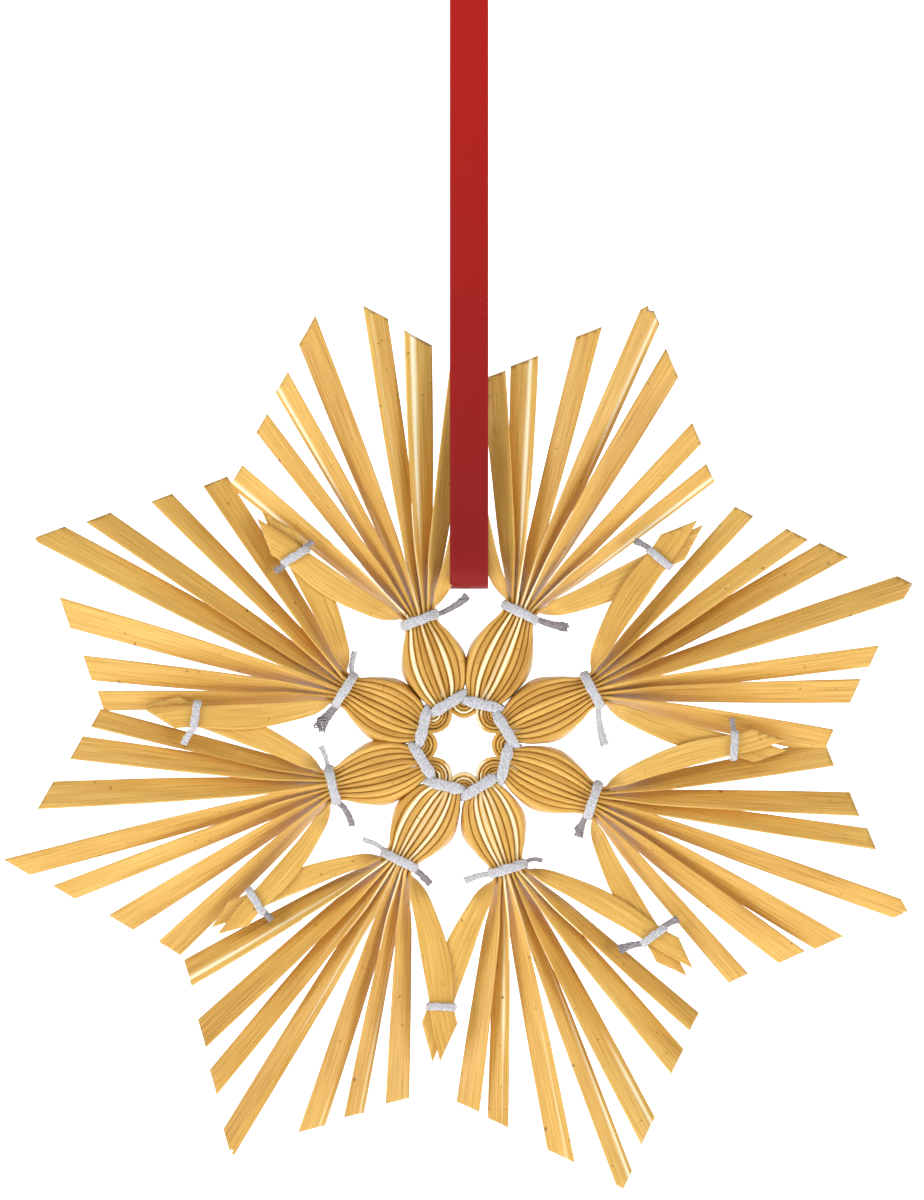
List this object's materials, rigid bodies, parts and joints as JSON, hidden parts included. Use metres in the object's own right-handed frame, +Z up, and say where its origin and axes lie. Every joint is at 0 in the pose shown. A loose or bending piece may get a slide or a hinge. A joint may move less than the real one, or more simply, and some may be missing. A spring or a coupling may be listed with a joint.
{
  "type": "straw ornament",
  "caption": "Flat star of flattened straws, lashed round an open centre, tied into petals and fans with thread, hanging from a narrow satin ribbon loop.",
  "frame": {"origin": "inside top of the ribbon loop, where a hook or twig holds it", "axes": "+Z up along the ribbon, -Y out of the star's front, +X to the right seen from the front"},
  "size_m": [0.1404, 0.0072, 0.1933],
  "materials": {
    "straw": "natural pressed straw, satin",
    "cotton": "matt twisted cotton thread",
    "satin": "satin ribbon"
  },
  "bodies": {
    "root": {"straw_upper_right_1": "straw", "straw_upper_right_2": "straw", "straw_upper_right_3": "straw", "straw_upper_right_4": "straw", "straw_upper_right_5": "straw", "straw_top_1": "straw", "straw_top_2": "straw", "straw_top_3": "straw", "straw_top_4": "straw", "straw_upper_left_1": "straw", "straw_upper_left_2": "straw", "straw_upper_left_3": "straw", "straw_upper_left_4": "straw", "straw_upper_left_5": "straw", "straw_left_1": "straw", "straw_left_2": "straw", "straw_left_3": "straw", "straw_left_4": "straw", "straw_lower_left_1": "straw", "straw_lower_left_2": "straw", "straw_lower_left_3": "straw", "straw_lower_left_4": "straw", "straw_lower_left_5": "straw", "straw_bottom_1": "straw", "straw_bottom_2": "straw", "straw_bottom_3": "straw", "straw_bottom_4": "straw", "straw_lower_right_1": "straw", "straw_lower_right_2": "straw", "straw_lower_right_3": "straw", "straw_lower_right_4": "straw", "straw_lower_right_5": "straw", "straw_right_1": "straw", "straw_right_2": "straw", "straw_right_3": "straw", "straw_right_4": "straw", "ring_lashing": "cotton", "petal_tie_right_upper": "cotton", "petal_tie_top_right": "cotton", "petal_tie_top_left": "cotton", "petal_tie_left_upper": "cotton", "petal_tie_left_lower": "cotton", "petal_tie_bottom_left": "cotton", "petal_tie_bottom_right": "cotton", "petal_tie_right_lower": "cotton", "side_tie_upper_right": "cotton", "side_tie_top": "cotton", "side_tie_upper_left": "cotton", "side_tie_left": "cotton", "side_tie_lower_left": "cotton", "side_tie_bottom": "cotton", "side_tie_lower_right": "cotton", "side_tie_right": "cotton", "ribbon": "satin"}
  },
  "joints": []
}
